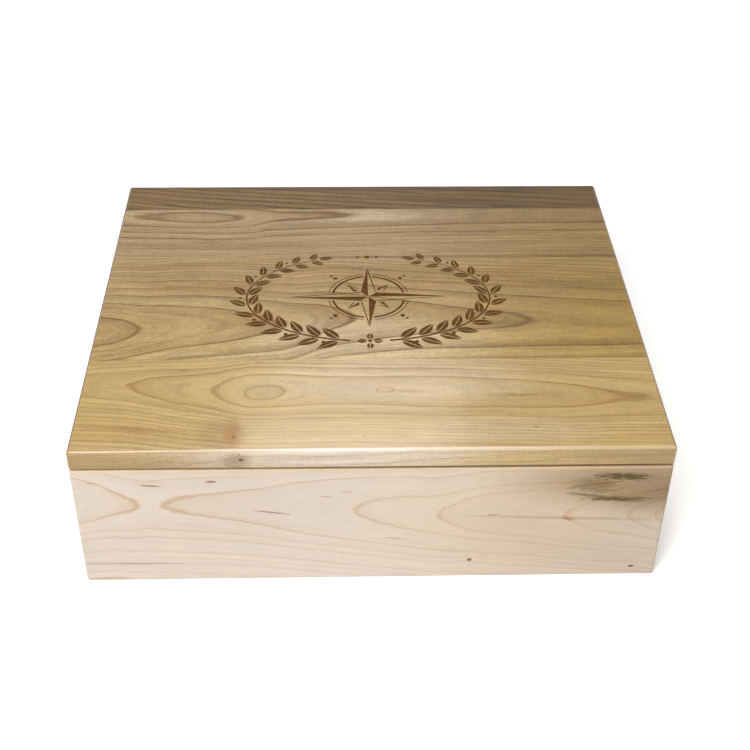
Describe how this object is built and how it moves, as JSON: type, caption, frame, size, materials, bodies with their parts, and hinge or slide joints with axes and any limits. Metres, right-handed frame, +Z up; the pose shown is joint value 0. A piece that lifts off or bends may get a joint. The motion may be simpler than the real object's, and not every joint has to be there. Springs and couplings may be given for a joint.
{
  "type": "document box",
  "caption": "Flat hardwood box for papers: mitred walls, a flush edge-glued slab lid on brass butt hinges, and a bevelled lid stop.",
  "frame": {"origin": "middle of the footprint, on the surface that the box stands on", "axes": "+X to the box's right along the front, +Y from the front to the hinged rear, +Z up"},
  "size_m": [0.33, 0.286, 0.0985],
  "materials": {
    "maple_lid_rear": "clear satin lacquer on maple",
    "maple_lid_back_middle": "clear satin lacquer on maple",
    "maple_lid_front_middle": "clear satin lacquer on maple",
    "maple_lid_front": "clear satin lacquer on maple",
    "maple_front": "clear satin lacquer on maple",
    "maple_rear": "clear satin lacquer on maple",
    "maple_left": "clear satin lacquer on maple",
    "maple_right": "clear satin lacquer on maple",
    "maple_panel": "clear satin lacquer on maple",
    "maple_spline": "clear satin lacquer on maple",
    "brass_leaf": "satin brass",
    "brass_pin": "satin brass",
    "brass_screw": "satin brass"
  },
  "bodies": {
    "box": {"front_board": "maple_front", "rear_board": "maple_rear", "left_board": "maple_left", "right_board": "maple_right", "bottom_panel": "maple_panel", "corner_spline_front_left": "maple_spline", "corner_spline_front_right": "maple_spline", "corner_spline_rear_left": "maple_spline", "corner_spline_rear_right": "maple_spline", "hinge_left_box_leaf": "brass_leaf", "hinge_left_pin": "brass_pin", "hinge_left_box_screws": "brass_screw", "hinge_right_box_leaf": "brass_leaf", "hinge_right_pin": "brass_pin", "hinge_right_box_screws": "brass_screw"},
    "lid": {"lid_board_rear": "maple_lid_rear", "lid_board_back_middle": "maple_lid_back_middle", "lid_board_front_middle": "maple_lid_front_middle", "lid_board_front": "maple_lid_front", "hinge_left_lid_leaf": "brass_leaf", "hinge_left_lid_screws": "brass_screw", "hinge_right_lid_leaf": "brass_leaf", "hinge_right_lid_screws": "brass_screw"}
  },
  "joints": [
    {"name": "lid_hinge", "type": "hinge", "parent": "box", "child": "lid", "pos_m": [0, 0.1388, 0.0854], "axis": [-1, 0, 0], "range_deg": [0, 95]}
  ]
}
